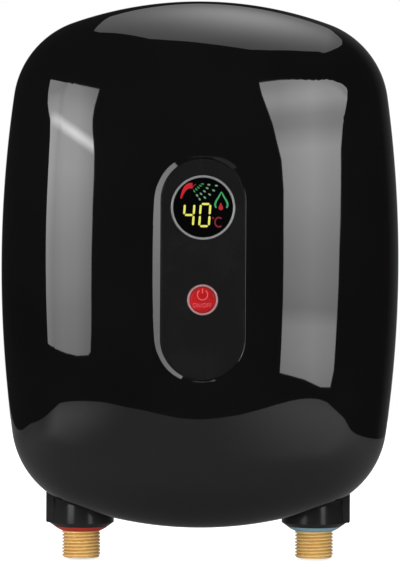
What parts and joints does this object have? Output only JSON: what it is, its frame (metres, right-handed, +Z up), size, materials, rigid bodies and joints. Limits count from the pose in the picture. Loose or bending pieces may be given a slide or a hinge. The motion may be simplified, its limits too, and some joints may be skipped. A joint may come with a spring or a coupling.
{
  "type": "tankless water heater",
  "caption": "Wall-hung instant electric water heater: domed black cover, recessed panel with round display and push button, two threaded water fittings below, keyhole slots behind.",
  "frame": {"origin": "middle of the flat back, on the wall plane, at half the body's height", "axes": "+X is the viewer's right, +Y points into the wall, +Z is up; the front faces -Y"},
  "size_m": [0.216, 0.0928, 0.3055],
  "materials": {
    "gloss_black": "high gloss moulded plastic",
    "housing_black": "satin moulded plastic",
    "smoked_panel": "smooth smoked acrylic",
    "smoked_lens": "clear smoked acrylic",
    "bright_trim": "satin bright plating",
    "button_red": "semi gloss moulded plastic",
    "hot_red": "moulded plastic",
    "cold_blue": "moulded plastic",
    "brass": "machined brass",
    "rubber_black": "moulded rubber",
    "steel": "zinc plated steel",
    "stainless": "stainless steel tube",
    "copper": "drawn copper tube",
    "aluminium": "extruded aluminium",
    "tank_polymer": "glass filled moulded plastic",
    "board_green": "printed circuit board",
    "part_white": "moulded plastic",
    "part_black": "moulded plastic",
    "relay_blue": "moulded plastic",
    "core_green": "coated ferrite core",
    "cable_grey": "flat cable"
  },
  "bodies": {
    "body": {"front_cover": "gloss_black", "rear_housing": "housing_black", "housing_gasket": "rubber_black", "cover_screws": "steel", "control_panel": "smoked_panel", "display_bezel": "bright_trim", "display_lens": "smoked_lens", "display_module": "part_black", "button_ring": "bright_trim", "tact_switch": "part_black", "control_board": "board_green", "control_board_screws": "steel", "hot_collar": "gloss_black", "cold_collar": "gloss_black", "hot_ring": "hot_red", "cold_ring": "cold_blue", "hot_fitting": "brass", "cold_fitting": "brass", "hot_fitting_seal": "rubber_black", "cold_fitting_seal": "rubber_black", "inlet_filter": "part_white", "flow_sensor_body": "part_black", "flow_guide_lower": "part_white", "flow_guide_upper": "part_white", "rotor_shaft": "stainless", "hall_sensor": "part_black", "inlet_pipe": "copper", "outlet_pipe": "copper", "temperature_probe": "aluminium", "heat_sink": "aluminium", "triac_left": "part_black", "triac_right": "part_black", "heating_tank": "tank_polymer", "tank_gasket": "rubber_black", "tank_lid": "tank_polymer", "lid_screws": "steel", "tank_screws": "steel", "heating_element_left": "stainless", "heating_element_right": "stainless", "thermal_cutout": "part_black", "earth_terminal": "brass", "power_board": "board_green", "board_spacers": "steel", "relay_left": "relay_blue", "relay_right": "relay_blue", "supply_transformer": "part_black", "capacitor": "part_black", "terminal_block": "part_white", "leakage_coil": "core_green", "cord_clamp": "part_white", "cable_grommet": "rubber_black", "display_ribbon": "cable_grey"},
    "power_button_body": {"power_button": "button_red", "switch_plunger": "part_white"},
    "flow_rotor_body": {"flow_rotor": "part_white"},
    "reset_button_body": {"reset_button": "button_red"}
  },
  "joints": [
    {"name": "power_button_press", "type": "slide", "parent": "body", "child": "power_button_body", "axis": [0, 1, 0], "range_m": [0, 0.0006], "stiffness_N_per_m": 900},
    {"name": "flow_rotor_spin", "type": "hinge", "parent": "body", "child": "flow_rotor_body", "pos_m": [0.0643, -0.0205, -0.1], "axis": [0, 0, 1], "continuous": true},
    {"name": "cutout_reset_press", "type": "slide", "parent": "body", "child": "reset_button_body", "axis": [0, 0, -1], "range_m": [0, 0.0015], "stiffness_N_per_m": 300}
  ]
}
